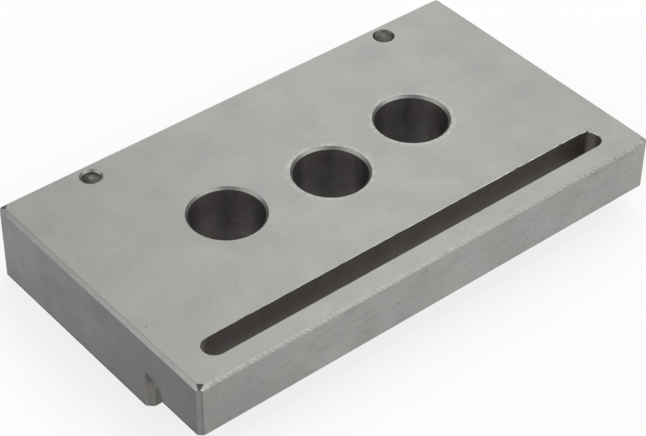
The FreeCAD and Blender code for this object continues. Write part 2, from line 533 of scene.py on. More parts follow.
# Surface grinding leaves a matt grey with fine level lines, too fine to show at 0.05 mm, so they
# are drawn 0.35 mm wide. Handling and oil leave cloudy patches, faintly green and pink. Round the
# rims of two bores a patchy lighter ring is wear from drill bushings pushed in and out, together
# with a painted highlight of the rounded rim.
GROUND_FACE = SteelFinish(
    "surface_ground_carbon_steel", "#8D8E8B", "#949590", 0.42,
    patch_mm=10.0, patch_shift=(7.0, 40.0, 0.0), tint=0.022, tint_mm=7.0,
    lay=Lay.ALONG_PLATE, mark_mm=0.35, mark_tone=0.03, mark_depth=0.002,
    grain_mm=0.5, grain_tone=0.04, speck_spacing=2.6, speck_mm=0.35, scratch_tone=0.16,
    wear_and_sheen_centres=BORE_CENTRES[1:],
)
# A face mill leaves the long sides a cooler grey, with broad smudges and clusters of pits.
MILLED_SIDE = SteelFinish(
    "face_milled_carbon_steel", "#959592", "#9E9F9C", 0.42, facing=Facing.FRONT,
    tone_ramp=(0.86, 1.0), tone_ramp_span=(-60.0, -30.0), patch_mm=12.0, tint=0.024, tint_mm=9.0,
    lay=Lay.ALONG_PLATE, mark_mm=0.4, mark_tone=0.03, mark_depth=0.003, grain_mm=0.4,
    grain_tone=0.05, speck_spacing=1.5, speck_mm=0.45, speck_cluster_mm=6.0,
    speck_shift=(32.0, 0.0, 0.0), speck_colour="#565551", scratch_tone=0.14,
    scratch_tilt_deg=50.0, smudge_tone=0.12, smudge_mm=1.4, smudge_length=3.0,
)
# The ends keep the purple-grey of a lightly oxidised saw and mill cut, and grow darker towards the
# lip.
MILLED_END = SteelFinish(
    "end_milled_oxidised_steel", "#7F7B7D", "#8A8789", 0.42, facing=Facing.END,
    tone_ramp=(0.59, 0.875), tone_ramp_axis="Y", tone_ramp_span=(-34.0, 34.0), patch_mm=8.0, tint=0.03,
    tint_mm=7.0, lay=Lay.ACROSS_PLATE, mark_mm=0.5, mark_tone=0.03, mark_depth=0.003,
    grain_mm=0.5, grain_tone=0.05, speck_spacing=2.5, speck_mm=0.35, scratch_tone=0.9,
    scratch_tilt_deg=-40.0,
)
# The upright corners were filed and then handled, which leaves them duller than the sides.
HANDLED_CORNER = SteelFinish(
    "filed_handled_steel", "#807E7D", "#848383", 0.42,
    patch_mm=3.0, tint=0.03, tint_mm=4.0, lay=Lay.UPRIGHT, mark_mm=0.3, mark_tone=0.05,
    mark_depth=0.003,
)
# Dirt and oxide stay in the narrow groove that the file left beside one corner.
CORNER_GROOVE = SteelFinish(
    "oxidised_groove_steel", "#72706E", "#787674", 0.45,
    patch_mm=2.0, lay=Lay.UPRIGHT, mark_mm=0.3, mark_tone=0.05, mark_depth=0.003,
)
# The end mill leaves the step's corner browner than the end beside it; painted shade darkens it
# higher up, where the cut runs out.
STEP_CORNER = SteelFinish(
    "end_milled_corner_steel_painted_shade", "#7D7A78", "#757270", 0.5,
    tone_ramp=(1.0, 0.6), tone_ramp_axis="Z", tone_ramp_span=(5.4, 7.2), patch_mm=1.2, tint=0.03, tint_mm=1.6,
    lay=Lay.UPRIGHT, mark_mm=0.3, mark_tone=0.1, mark_depth=0.006,
)
# That cut leaves a thin burr where it meets the end, drawn as a lighter strip: a painted highlight,
# with painted shade higher up.
STEP_BURR_HIGHLIGHT = SteelFinish(
    "burr_steel_painted_highlight", "#8B8987", "#7F7D7A", 0.45,
    tone_ramp=(1.0, 0.8), tone_ramp_axis="Z", tone_ramp_span=(4.4, 6.0), patch_mm=0.6,
    lay=Lay.UPRIGHT, mark_mm=0.3, mark_tone=0.1, mark_depth=0.006,
)
# The wall of the step, under the lip, is an olive grey, darkened by painted shade.
STEP_WALL = SteelFinish(
    "end_milled_oily_wall_steel", "#6C6A64", "#65635E", 0.5, facing=Facing.FRONT,
    patch_mm=3.0, lay=Lay.ALONG_PLATE, mark_mm=0.3, mark_tone=0.06, mark_depth=0.004,
)
# Both corners of the left end were filed once more, and their little flats are painted darker:
# painted shade for their dark reflection.
FILED_CORNER_FLAT = SteelFinish(
    "filed_steel_painted_shade", "#696867", "#62615F", 0.42,
    patch_mm=1.5, mark_mm=0.3, mark_tone=0.06, mark_depth=0.004,
)
# Knocks have rubbed the right corner's flat bare.
RUBBED_CORNER_FLAT = SteelFinish(
    "rubbed_bare_steel", "#A8A8A4", "#A0A09C", 0.6,
    patch_mm=1.5, mark_mm=0.3, mark_tone=0.06, mark_depth=0.004,
)
# Painted contact shadow: a dark strip along the lower edges of the ends.
CONTACT_SHADOW_EDGE = SteelFinish(
    "painted_contact_shadow_steel", "#3F3D3D", "#494747", 0.5,
    patch_mm=1.5, mark_mm=0.3, mark_tone=0.1, mark_depth=0.004,
)
# The long chamfers were milled, and the cutter's chatter left a row of dents, whose lower parts get
# a lighter finish: painted glints.
MILLED_CHAMFER = SteelFinish(
    "chamfer_milled_carbon_steel", "#888986", "#8F8F8C", 0.38,
    tone_ramp=(0.95, 1.1), tone_ramp_span=(-45.0, 0.0), patch_mm=3.0, tint=0.03, tint_mm=2.5,
    mark_mm=0.5, mark_tone=0.05, mark_depth=0.006, grain_mm=0.3, grain_tone=0.1,
)
# Painted glints on the chatter marks.
CHATTER_GLINT = SteelFinish(
    "chatter_milled_steel_painted_glint", "#999A96", "#939490", 0.36,
    tone_ramp=(0.95, 1.1), tone_ramp_span=(-45.0, 0.0), patch_mm=1.0, mark_mm=0.3, mark_tone=0.08,
    mark_depth=0.006,
)
# The end chamfers were filed by hand, in long strokes.
FILED_CHAMFER = SteelFinish(
    "filed_carbon_steel", "#8F8F8D", "#969693", 0.36,
    patch_mm=3.0, tint=0.03, tint_mm=2.5, mark_mm=0.5, mark_tone=0.07,
    mark_depth=0.006, grain_mm=0.3, grain_tone=0.08,
)
# Drilled and reamed walls keep a brown film of oil with faint level rings; painted shade darkens
# them further down, and two upright bands of painted sheen lighten them.
REAMED_WALL = SteelFinish(
    "reamed_oily_steel", "#666260", "#5A5654", 0.55, facing=Facing.FRONT,
    tone_ramp=(0.62, 1.0), tone_ramp_axis="Z", tone_ramp_span=(8.0, 17.0), patch_mm=4.0, tint=0.03, tint_mm=4.0,
    lay=Lay.ROUND_BORE, mark_mm=0.3, mark_tone=0.05, mark_depth=0.002, grain_mm=0.5,
    grain_tone=0.06, scratch_tone=1.2, scratch_tilt_deg=-12.0, smudge_tone=0.2, smudge_mm=3.2,
    smudge_length=8.0, smudge_lay=Lay.UPRIGHT, wear_and_sheen_radius=0.0, wear_and_sheen_width=5.0,
    wear_and_sheen_tone=0.85, wear_and_sheen_cover=0.0, wear_and_sheen_centres=tuple(
        (x + BORE_RADIUS * math.cos(math.radians(turn)),
         y + BORE_RADIUS * math.sin(math.radians(turn)))
        for x, y in BORE_CENTRES for turn in SHEEN_BAND_DEG
    ),
)
# The countersink leaves fine rings round each bore.
TURNED_CHAMFER = SteelFinish(
    "countersunk_carbon_steel", "#898A87", "#8E8F8C", 0.4,
    patch_mm=3.0, tint=0.03, tint_mm=3.0, lay=Lay.ROUND_BORE, mark_mm=0.12, mark_tone=0.06,
    mark_depth=0.003, grain_mm=0.4, grain_tone=0.08,
)
# The end mill that cuts the slot leaves upright marks and a brown film of old coolant.
SLOT_WALL = SteelFinish(
    "end_milled_brown_steel", "#7E7976", "#77716E", 0.5, facing=Facing.FRONT,
    tone_ramp=(1.0, 1.12), patch_mm=5.0, tint=0.03, tint_mm=4.0, lay=Lay.UPRIGHT, mark_mm=0.45,
    mark_tone=0.06, mark_depth=0.004, grain_mm=0.4, grain_tone=0.05,
)
# The slot's broken edge is stoned steel with a painted highlight, the brightest line on the plate,
# least at its left.
STONED_EDGE_HIGHLIGHT = SteelFinish(
    "stoned_steel_painted_highlight", "#C6C6C2", "#84847F", 0.22,
    tone_ramp=(0.45, 1.0), tone_ramp_span=(-45.0, 15.0), patch_mm=3.0, mark_mm=0.4,
    mark_tone=0.1, mark_depth=0.004,
)
# Hardened dowels come dark from the quench; each crown gets a painted highlight, a lighter round
# spot.
HARDENED_DOWEL = SteelFinish(
    "hardened_ground_dowel_steel", "#4B4A45", "#45443F", 0.42,
    patch_mm=1.5, tint=0.05, tint_mm=1.2, mark_mm=0.25, mark_tone=0.1,
    mark_depth=0.003, grain_mm=0.3, grain_tone=0.1, highlight_mm=0.9,
)
# The right dowel's hole has a darker chamfer.
DARKER_PIN_CHAMFER = SteelFinish(
    "darker_countersunk_steel", "#6A6966", "#646360", 0.4,
    patch_mm=2.0, lay=Lay.ROUND_BORE, mark_mm=0.12, mark_tone=0.06, mark_depth=0.003,
)


class Surface(Enum):
    """The plate's surfaces, each with the finish that it gets."""

    GROUND = GROUND_FACE
    LONG_SIDE = MILLED_SIDE
    END = MILLED_END
    CORNER = HANDLED_CORNER
    GROOVE = CORNER_GROOVE
    STEP_CORNER = STEP_CORNER
    STEP_BURR_HIGHLIGHT = STEP_BURR_HIGHLIGHT
    STEP_WALL = STEP_WALL
    LOWER_EDGE = CONTACT_SHADOW_EDGE
    SHADED_FLAT = FILED_CORNER_FLAT
    RUBBED_FLAT = RUBBED_CORNER_FLAT
    LONG_CHAMFER = MILLED_CHAMFER
    CHATTER_GLINT = CHATTER_GLINT
    END_CHAMFER = FILED_CHAMFER
    BORE_WALL = REAMED_WALL
    BORE_CHAMFER = TURNED_CHAMFER
    DARKER_PIN_CHAMFER = DARKER_PIN_CHAMFER
    SLOT_WALL = SLOT_WALL
    SLOT_EDGE = STONED_EDGE_HIGHLIGHT


def is_within(value: float, low: float, high: float) -> bool:
    """Tell whether a value lies between two others."""
    return low <= value <= high


def held(value: float) -> float:
    """Hold a value between 0 and 1."""
    return min(1.0, max(0.0, value))


@dataclass(frozen=True)
class Waver:
    """An uneven rise and fall along an edge, as a hand tool or a worn cutter leaves it."""

    height: float
    length: float                   # of one rise and fall
    key: float                      # sets one waver apart from the next

    def at(self, run: float, seed: float) -> float:
        """Say how high it is at one place along the edge."""
        return self.height * noise.noise(Vector((run / self.length, seed, self.key)))


@dataclass(frozen=True)
class Bumps:
    """Small bumps over the face of a chamfer."""

    height: float
    length: float                   # of one bump, along the chamfer
    breadth: float                  # of one bump, as a share of the chamfer's width

    def at(self, run: float, share: float, seed: float) -> float:
        """Say how high they are at one place of the chamfer."""
        return self.height * noise.noise(Vector((run / self.length, share / self.breadth, seed)))


@dataclass(frozen=True)
class ChatterMarks:
    """The long chamfers: slanted dents where the cutter chattered."""

    pitch: float = 1.27
    slant: float = 0.9              # how many pitches a mark moves on from top to bottom
    drift: Waver = Waver(0.5, 5.0, 0.0)             # of the marks, in pitches
    jitter: Bumps = Bumps(0.25, 0.9, 0.3)           # of their edges, in pitches
    sharpness: float = 1.3
    calm_place: float = 5.0         # where along the plate they are faintest
    calm_strength: float = 0.4
    strength_gain: float = 0.4      # by the end that is this far away
    strength_reach: float = 55.0
    swell: Waver = Waver(0.9, 2.6, 4.0)
    glint_start: float = 0.3         # painted glints start this far down the chamfer, as a share of it
    glint_level: float = 0.2
    full_start: float = 0.4         # and at full depth from here
    depth: float = 0.035
    crown: float = 0.012            # how far the chamfer stands out between them
    bumps: Bumps = Bumps(0.022, 0.45, 0.4)
    top_slip: Waver = Waver(0.12, 0.8, 9.0)
    side_slip: Waver = Waver(0.06, 0.6, 17.0)
    side_lift: float = 0.1

    def level(self, run: float, share: float, seed: float) -> float:
        """Say how deep a mark is at one place, from 0 to about 1.

        Args:
            run: Place along the chamfer.
            share: Place across it, 0 at the top face and 1 at the side.
            seed: Sets one chamfer apart from the others.

        Returns:
            The depth as a share of the full one.
        """
        drift = self.drift.at(run, seed) + self.jitter.at(run, share, seed)
        phase = run / self.pitch - self.slant * share + drift
        dent = (0.5 + 0.5 * math.cos(2 * math.pi * phase)) ** self.sharpness
        past_calm = abs(run - self.calm_place) / self.strength_reach
        strength = self.calm_strength + self.strength_gain * past_calm + self.swell.at(run, seed)
        return dent * max(0.0, strength)

    def has_painted_glint(self, run: float, share: float, seed: float) -> bool:
        """Tell whether a place is in a mark that gets a painted glint."""
        return share > self.glint_start and self.level(run, share, seed) > self.glint_level

    def shape(self, run: float, share: float, seed: float) -> tuple[float, float, float]:
        """Shape the chamfer at one place.

        Args:
            run: Place along the chamfer.
            share: Place across it, 0 at the top face and 1 at the side.
            seed: Sets one chamfer apart from the others.

        Returns:
            How far the surface stands out, how far its upper edge moves outwards and how far its
            lower edge moves down.
        """
        low = min(1.0, max(0.0, share) / self.full_start)
        dent = low * self.depth * self.level(run, share, seed)
        rise = self.crown - dent + self.bumps.at(run, share, seed)
        return rise, self.top_slip.at(run, seed), self.side_slip.at(run, seed) - self.side_lift


@dataclass(frozen=True)
class FileStrokes:
    """The end chamfers: two file strokes that meet in a soft ridge."""

    ridge: float = 0.2              # place of the ridge, as a share of the width from the top
    ridge_drift: Waver = Waver(0.12, 5.0, 2.0)
    ridge_height: float = 0.022
    bumps: Bumps = Bumps(0.016, 0.8, 0.5)
    top_slip: Waver = Waver(0.09, 2.4, 9.0)
    top_jitter: Waver = Waver(0.04, 0.6, 11.0)
    side_slip: Waver = Waver(0.05, 3.0, 17.0)
    side_lift: float = 0.08

    def shape(self, run: float, share: float, seed: float) -> tuple[float, float, float]:
        """Shape the chamfer at one place.

        Args:
            run: Place along the chamfer.
            share: Place across it, 0 at the top face and 1 at the side.
            seed: Sets one chamfer apart from the others.

        Returns:
            How far the surface stands out, how far its upper edge moves outwards and how far its
            lower edge moves down.
        """
        ridge = self.ridge + self.ridge_drift.at(run, seed)
        slope = share / ridge if share < ridge else (1 - share) / (1 - ridge)
        rise = self.ridge_height * slope + self.bumps.at(run, share, seed)
        top_slip = self.top_slip.at(run, seed) + self.top_jitter.at(run, seed)
        return rise, top_slip, self.side_slip.at(run, seed) - self.side_lift


@dataclass
class BushingPlate:
    """The plate as it really looks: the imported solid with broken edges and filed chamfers."""

    node: str = "bushing_plate"
    half_length: float = 60.0
    half_width: float = 34.0
    thickness: float = 18.0
    lip_underside: float = 5.5
    top_chamfer: float = 0.8
    corner_chamfer: float = 0.9
    bore_radius: float = BORE_RADIUS
    bore_chamfer: float = 0.55
    bore_centres: tuple[tuple[float, float], ...] = BORE_CENTRES
    pin_radius: float = 2.0
    pin_hole_chamfer: float = 0.5
    pin_centres: tuple[tuple[float, float], ...] = ((-39.75, 29.9), (40.25, 29.9))
    slot_middle: tuple[float, float] = (-0.4, -26.25)
    slot_half_width: float = 2.6
    slot_half_travel: float = 50.0
    slot_edge_break: float = 0.12

    step_from_front: float = 16.45
    step_chamfer: float = 1.45
    step_pocket_height: float = 9.6
    step_pocket_reach: tuple[float, float] = (2.0, 2.5)     # along x and y, in step chamfers
    burr_highlight_width: float = 0.25        # of the strip of painted highlight along the burr of the step corner's cut
    edge_break: float = 0.2         # of the solid's lower edges, sharper in the photo
    edge_left: float = 0.02         # of that break once it is sharpened
    shadow_line_height: float = 0.35      # of the strip of painted contact shadow along the ends' lower edges

    edge_radius: float = 0.05       # of the small round left on a broken edge
    edge_reach: float = 0.35        # an outer edge is this near to its chamfer
    ridge_width: float = 0.5        # of the groove and ridge beside the front left corner
    ridge_edge: float = 1.0         # an edge longer than this runs up the whole corner
    rim_wear: float = 0.2           # most that the slot's broken edge is worn back
    near_rim_share: float = 0.15    # of that wear on the near edge, which stayed straight
    rim_fade: float = 2.0           # the wear fades out this far before the slot's round ends
    rim_share: float = 0.25         # of that wear that is there all along
    rim_build: float = 0.8          # most that it builds up, as a share of the broken edge
    rim_waver: Waver = Waver(1.0, 1.8, 3.0)
    rim_jitter: Waver = Waver(0.3, 0.45, 8.0)
    nick_turn_deg: float = 55.0     # where the rim of the slot's right end has a nick, from +X
    nick_size: float = 0.5
    nick_reach: float = 0.7

    chatter: ChatterMarks = ChatterMarks()
    strokes: FileStrokes = FileStrokes()
    chamfer_seed: float = 57.0      # sets one chamfer apart from the next
    chamfer_rows: tuple[float, ...] = (0.15, 0.3, 0.43, 0.57, 0.7, 0.85)    # shares of its width
    chamfer_fade: float = 1.5       # its unevenness fades out over this length
    file_step: float = 0.22         # length of one facet along a filed chamfer
    end_margin: float = 1.4         # a chamfer's corners stay as they are

    # How far a face's normal leans along an axis tells which surface the face belongs to.
    lean: float = 0.3               # less than this is upright or crosswise
    square_lean: float = 0.9        # more than this is square to the axis, but for a broken edge
    strict_lean: float = 0.97       # and more than this without one
    end_lean: float = 0.99          # of an end, along x
    filed_lean: float = 0.1         # of a filed chamfer, up and outwards
    filed_stray: float = 0.05       # and no more than this lengthwise
    chamfer_lean: tuple[float, float] = (0.1, 0.995)        # of a top chamfer and its rounds, up
    rim_lean: tuple[float, float] = (0.3, 0.95)             # of the slot's broken edge, up
    flat_lean: tuple[float, float] = (0.6, 0.97)            # of a top corner's flat, up
    flat_turn: float = 0.15         # of that flat, along both x and y
    groove_lean: tuple[float, float] = (-0.93, -0.78)       # of the groove, along y
    opening_slack: float = 0.1      # a face this near to a bore or a pin's hole belongs to it
    slot_slack: float = 0.4         # and this near to the slot

    touch: float = 0.01             # places nearer than this count as one
    weld_reach: float = 0.0001
    cut_reach: float = 1e-6
    flat_angle_deg: float = 0.12
    bevel_angle_deg: float = 18.0
    sharp_angle_deg: float = 28.0

    def build(self, frame: dict[str, Any]) -> bpy.types.Object:
        """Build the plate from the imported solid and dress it.


        Returns:
            The plate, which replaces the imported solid.
        """
        shape = self.solid(frame["nodes"][self.node])
        self.leave_ridge(shape)
        self.mark_off_burr_highlight(shape)
        self.sharpen_lower_edges(shape)
        self.mark_off_shadow_line(shape)
        self.break_edges(shape)
        for outward in OUTWARD:
            self.file_chamfer(shape, Vector(outward))
        self.wear_slot_rim(shape)
        self.nick_slot_end(shape)
        surfaces = list(Surface)
        for face in shape.faces:
            face.material_index = surfaces.index(self.surface_of(face))
        bmesh.ops.scale(shape, vec=(MM,) * 3, verts=shape.verts)
        mesh = bpy.data.meshes.new("finished_plate")
        shape.to_mesh(mesh)
        shape.free()
        mesh.polygons.foreach_set("use_smooth", [True] * len(mesh.polygons))
        mesh.set_sharp_from_angle(angle=math.radians(self.sharp_angle_deg))
        for surface in surfaces:
            mesh.materials.append(surface.value.material())
        plate = bpy.data.objects.new("finished_plate", mesh)
        bpy.context.scene.collection.objects.link(plate)
        true_faces = plate.modifiers.new("true_flat_faces", "WEIGHTED_NORMAL")
        true_faces.keep_sharp = True
        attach(plate, "root")
        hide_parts(self.node)
        logger.info("plate: %d faces", len(mesh.polygons))
        return plate

    def solid(self, source: bpy.types.Object) -> bmesh.types.BMesh:
        """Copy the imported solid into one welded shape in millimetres, its flat faces whole.

        Args:
            source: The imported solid.

        Returns:
            The shape.
        """
        shape = bmesh.new()
        shape.from_mesh(source.data)
        bmesh.ops.scale(shape, vec=(1 / MM,) * 3, verts=shape.verts)
        bmesh.ops.remove_doubles(shape, verts=shape.verts, dist=self.weld_reach)
        bmesh.ops.dissolve_limit(
            shape, angle_limit=math.radians(self.flat_angle_deg),
            verts=shape.verts, edges=shape.edges,
        )
        return shape

    def is_on_outer_edge(self, point: Vector) -> bool:
        """Tell whether a point is on the rim of the top face or on an upright corner.

        Args:
            point: The place to test.

        Returns:
            True where two of the plate's outer faces are near.
        """
        reach = self.top_chamfer + self.edge_reach
        near_side = self.half_width - abs(point.y) < reach
        near_end = self.half_length - abs(point.x) < reach
        near_top = self.thickness - point.z < reach
        return (near_top and (near_side or near_end)) or (near_side and near_end)

    def is_on_bore_rim(self, point: Vector) -> bool:
        """Tell whether a point is on a rim of a bore's chamfer.

        Args:
            point: The place to test.

        Returns:
            True where it is no nearer to a bore's axis and no farther than the chamfer.
        """
        return any(
            is_within(
                math.hypot(point.x - x, point.y - y),
                self.bore_radius - self.touch, self.bore_radius + self.bore_chamfer + self.touch,
            )
            for x, y in self.bore_centres
        )

    def is_in_step_pocket(self, face: bmesh.types.BMFace) -> bool:
        """Tell whether a face belongs to the cut across the step's upright corner.

        Args:
            face: The face to test.

        Returns:
            True for a slanted face close to that corner.
        """
        middle = face.calc_center_median()
        reach_x, reach_y = self.step_pocket_reach
        from_end = self.half_length - abs(middle.x)
        from_step = abs(middle.y + self.half_width - self.step_from_front)
        is_near = from_end < reach_x * self.step_chamfer and from_step < reach_y * self.step_chamfer
        is_slanted = max(abs(face.normal.x), abs(face.normal.y)) < self.strict_lean
        return is_near and is_slanted and middle.z < self.step_pocket_height

    def is_on_side(self, point: Vector) -> bool:
        """Tell whether a point is on one of the four outer sides."""
        is_on_end = abs(self.half_length - abs(point.x)) < self.touch
        return is_on_end or abs(self.half_width - abs(point.y)) < self.touch

    def leave_ridge(self, shape: bmesh.types.BMesh) -> None:
        """Cut the file's groove and ridge between the front left corner and the front.

        Args:
            shape: The shape to change.
        """
        corner_x = -self.half_length + self.corner_chamfer
        edges = [
            edge for edge in shape.edges
            if edge.calc_length() > self.ridge_edge and all(
                abs(vert.co.x - corner_x) < self.touch
                and abs(vert.co.y + self.half_width) < self.touch
                for vert in edge.verts
            )
        ]
        bmesh.ops.bevel(
            shape, geom=edges, offset=self.ridge_width, offset_type="WIDTH", segments=2,
            profile=0.5, affect="EDGES", clamp_overlap=False, material=-1,
        )

    def mark_off_burr_highlight(self, shape: bmesh.types.BMesh) -> None:
        """Divide the step corner's cut along the strip of painted highlight on its burr.

        Args:
            shape: The shape to change.
        """
        pockets = [face for face in shape.faces if self.is_in_step_pocket(face)]
        burr_end = self.half_length - self.burr_highlight_width
        self.slice_faces(shape, pockets, Vector((1, 0, 0)), [-burr_end, burr_end])

    def sharpen_lower_edges(self, shape: bmesh.types.BMesh) -> None:
        """Bring the sides' lower edges down to the bottom face and to the lip's underside.

        Args:
            shape: The shape to change.
        """
        for vert in shape.verts:
            for floor in (0.0, self.lip_underside):
                is_low = abs(vert.co.z - floor - self.edge_break) < 2 * self.touch
                if is_low and self.is_on_side(vert.co):
                    vert.co.z = floor + self.edge_left

    def mark_off_shadow_line(self, shape: bmesh.types.BMesh) -> None:
        """Divide the ends along the top of their lower strips of painted contact shadow.

        Args:
            shape: The shape to change.
        """
        for floor in (0.0, self.lip_underside):
            ends = [face for face in shape.faces if abs(face.normal.x) > self.end_lean]
            self.slice_faces(shape, ends, Vector((0, 0, 1)), [floor + self.shadow_line_height])

    def break_edges(self, shape: bmesh.types.BMesh) -> None:
        """Round the outer edges and the bores' rims by the little that handling leaves.

        Args:
            shape: The shape to change.
        """
        sharp = math.radians(self.bevel_angle_deg)
        edges = []
        for edge in shape.edges:
            ends = [vert.co for vert in edge.verts]
            level = abs(ends[0].z - ends[1].z) < self.touch
            wanted = all(self.is_on_outer_edge(point) for point in ends) or (
                level and all(self.is_on_bore_rim(point) for point in ends)
            )
            if wanted and edge.calc_face_angle() > sharp:
                edges.append(edge)
        bmesh.ops.bevel(
            shape, geom=edges, offset=self.edge_radius, offset_type="OFFSET", segments=2,
            profile=0.5, affect="EDGES", clamp_overlap=False, material=-1,
        )

    def slice_faces(
        self,
        shape: bmesh.types.BMesh,
        faces: list[bmesh.types.BMFace],
        direction: Vector,
        places: list[float],
    ) -> list[bmesh.types.BMFace]:
        """Cut faces by parallel planes, without cutting their neighbours.

        Args:
            shape: The shape that they belong to.
            faces: The faces to cut.
            direction: Normal of the planes.
            places: Where each plane crosses that direction, from low to high.

        Returns:
            All the faces that the given ones became.
        """
        done = []
        waiting = list(faces)
        for place in places:
            crossed = []
            for face in waiting:
                reach = [direction.dot(vert.co) for vert in face.verts]
                if max(reach) <= place + self.cut_reach:
                    done.append(face)
                else:
                    crossed.append(face)
            cutting = [
                face for face in crossed
                if min(direction.dot(vert.co) for vert in face.verts) < place - self.cut_reach
            ]
            waiting = [face for face in crossed if face not in cutting]
            if cutting:
                geometry = set(cutting)
                for face in cutting:
                    geometry.update(face.edges)
                    geometry.update(face.verts)
                cut = bmesh.ops.bisect_plane(
                    shape, geom=list(geometry), dist=self.cut_reach,
                    plane_co=direction * place, plane_no=direction,
                )
                waiting += [item for item in cut["geom"] if isinstance(item, bmesh.types.BMFace)]
        return done + waiting

    def divide_lengthwise(
        self, shape: bmesh.types.BMesh, faces: list[bmesh.types.BMFace], half_run: float,
    ) -> None:
        """Divide long narrow faces into short ones.

        Args:
            shape: The shape that they belong to.
            faces: The faces; those that reach past the run are left whole.
            half_run: Half the length to divide.
        """
        edges = {
            edge for face in faces for edge in face.edges
            if abs(edge.calc_length() - 2 * half_run) < 10 * self.touch
        }
        bmesh.ops.subdivide_edges(
            shape, edges=list(edges), cuts=int(2 * half_run / self.file_step) - 1,
        )

    def file_chamfer(self, shape: bmesh.types.BMesh, outward: Vector) -> None:
        """Give the chamfer on one side of the top face its uneven, filed surface.

        Args:
            shape: The shape to change.
            outward: Level direction that the side faces.
        """
        along = Vector((abs(outward.y), abs(outward.x), 0))
        is_long = along.x > 0.5
        reach = self.half_width if is_long else self.half_length
        half_run = (self.half_length if is_long else self.half_width) - self.end_margin
        up = Vector((0, 0, 1))
        across = (outward - up).normalized()
        upper_edge = outward * (reach - self.top_chamfer) + up * self.thickness
        width = math.sqrt(2) * self.top_chamfer
        start = across.dot(upper_edge)
        slack = 3 * self.edge_radius

        def is_filed(face: bmesh.types.BMFace) -> bool:
            """Tell whether a face belongs to this chamfer, its small rounds included.

            Args:
                face: The face to test.

            Returns:
                True for a face that leans the chamfer's way and lies within its width.
            """
            normal = face.normal
            return (
                min(normal.z, outward.dot(normal)) > self.filed_lean
                and abs(along.dot(normal)) < self.filed_stray
                and all(
                    outward.dot(vert.co) > reach - self.top_chamfer - slack
                    and vert.co.z > self.thickness - self.top_chamfer - slack
                    for vert in face.verts
                )
            )

        faces = [face for face in shape.faces if is_filed(face)]
        rows = [start + width * share for share in self.chamfer_rows]
        faces = self.slice_faces(shape, faces, across, rows)
        faces = self.slice_faces(shape, faces, along, [-half_run, half_run])
        self.divide_lengthwise(shape, faces, half_run)
        faces = [face for face in shape.faces if is_filed(face)]
        outside = (outward + up).normalized()
        seed = self.chamfer_seed * (outward.x + outward.y)
        surface = self.chatter if is_long else self.strokes
        verts = {vert for face in faces for vert in face.verts}
        for vert in verts:
            run = along.dot(vert.co)
            fade = held((half_run - abs(run)) / self.chamfer_fade)
            if fade == 0.0:
                continue
            share = (across.dot(vert.co) - start) / width
            upper = max(0.0, 1 - 2 * max(0.0, share))
            lower = max(0.0, 1 - 2 * max(0.0, 1 - share))
            inner = max(0.0, math.sin(math.pi * held(share)))
            rise, top_slip, side_slip = surface.shape(run, share, seed)
            vert.co += fade * (
                inner * rise * outside + upper * top_slip * outward - lower * side_slip * up
            )

    def wear_slot_rim(self, shape: bmesh.types.BMesh) -> None:
        """Make the broken edge along the guide slot's mouth uneven, as a hand stone leaves it.

        Args:
            shape: The shape to change.
        """
        middle_x, middle_y = self.slot_middle
        for side in (-1, 1):
            wall_y = middle_y + side * self.slot_half_width
            seed = 5.0 * side
            rim = [
                face for face in shape.faces
                if is_within(face.normal.z, *self.rim_lean) and face.normal.y * side < -self.lean
                and all(
                    abs(vert.co.y - wall_y) < 2 * self.slot_edge_break
                    and self.thickness - vert.co.z < 2 * self.slot_edge_break
                    and abs(vert.co.x - middle_x) < self.slot_half_travel + self.touch
                    for vert in face.verts
                )
            ]
            self.divide_lengthwise(shape, rim, self.slot_half_travel)
            for vert in shape.verts:
                depth = self.thickness - vert.co.z
                outset = side * (vert.co.y - wall_y)
                run = vert.co.x
                fade = held((self.slot_half_travel - abs(run - middle_x)) / self.rim_fade)
                if depth > 1.5 * self.slot_edge_break or fade == 0.0:
                    continue
                share = self.rim_share + self.rim_waver.at(run, seed) + self.rim_jitter.at(run, seed)
                wear = self.rim_wear * share * (1.0 if side > 0 else self.near_rim_share)
                wear = fade * max(-self.rim_build * self.slot_edge_break, wear)
                if depth < self.touch and abs(outset - self.slot_edge_break) < self.touch:
                    vert.co.y += side * wear
                elif abs(outset) < self.touch and abs(depth - self.slot_edge_break) < self.touch:
                    vert.co.z -= wear

    def nick_slot_end(self, shape: bmesh.types.BMesh) -> None:
        """Dent the rim of the slot's right end at one place.

        Args:
            shape: The shape to change.
        """
        centre = Vector((self.slot_middle[0] + self.slot_half_travel, self.slot_middle[1], 0))
        turn = math.radians(self.nick_turn_deg)
        outward = Vector((math.cos(turn), math.sin(turn), 0))
        place = centre + outward * (self.slot_half_width + self.slot_edge_break)
        place.z = self.thickness
        nicked = 0
        for vert in shape.verts:
            share = 1 - (vert.co - place).length / self.nick_reach
            if share > 0.0:
                vert.co += outward * self.nick_size * share
                nicked += 1
        logger.info("nick: %d points", nicked)

    def surface_of(self, face: bmesh.types.BMFace) -> Surface:
        """Find which of the plate's surfaces a face belongs to.

        Args:
            face: A face of the finished plate.

        Returns:
            Its surface.
        """
        return self.opening_surface(face) or self.chamfer_surface(face) or self.outer_surface(face)

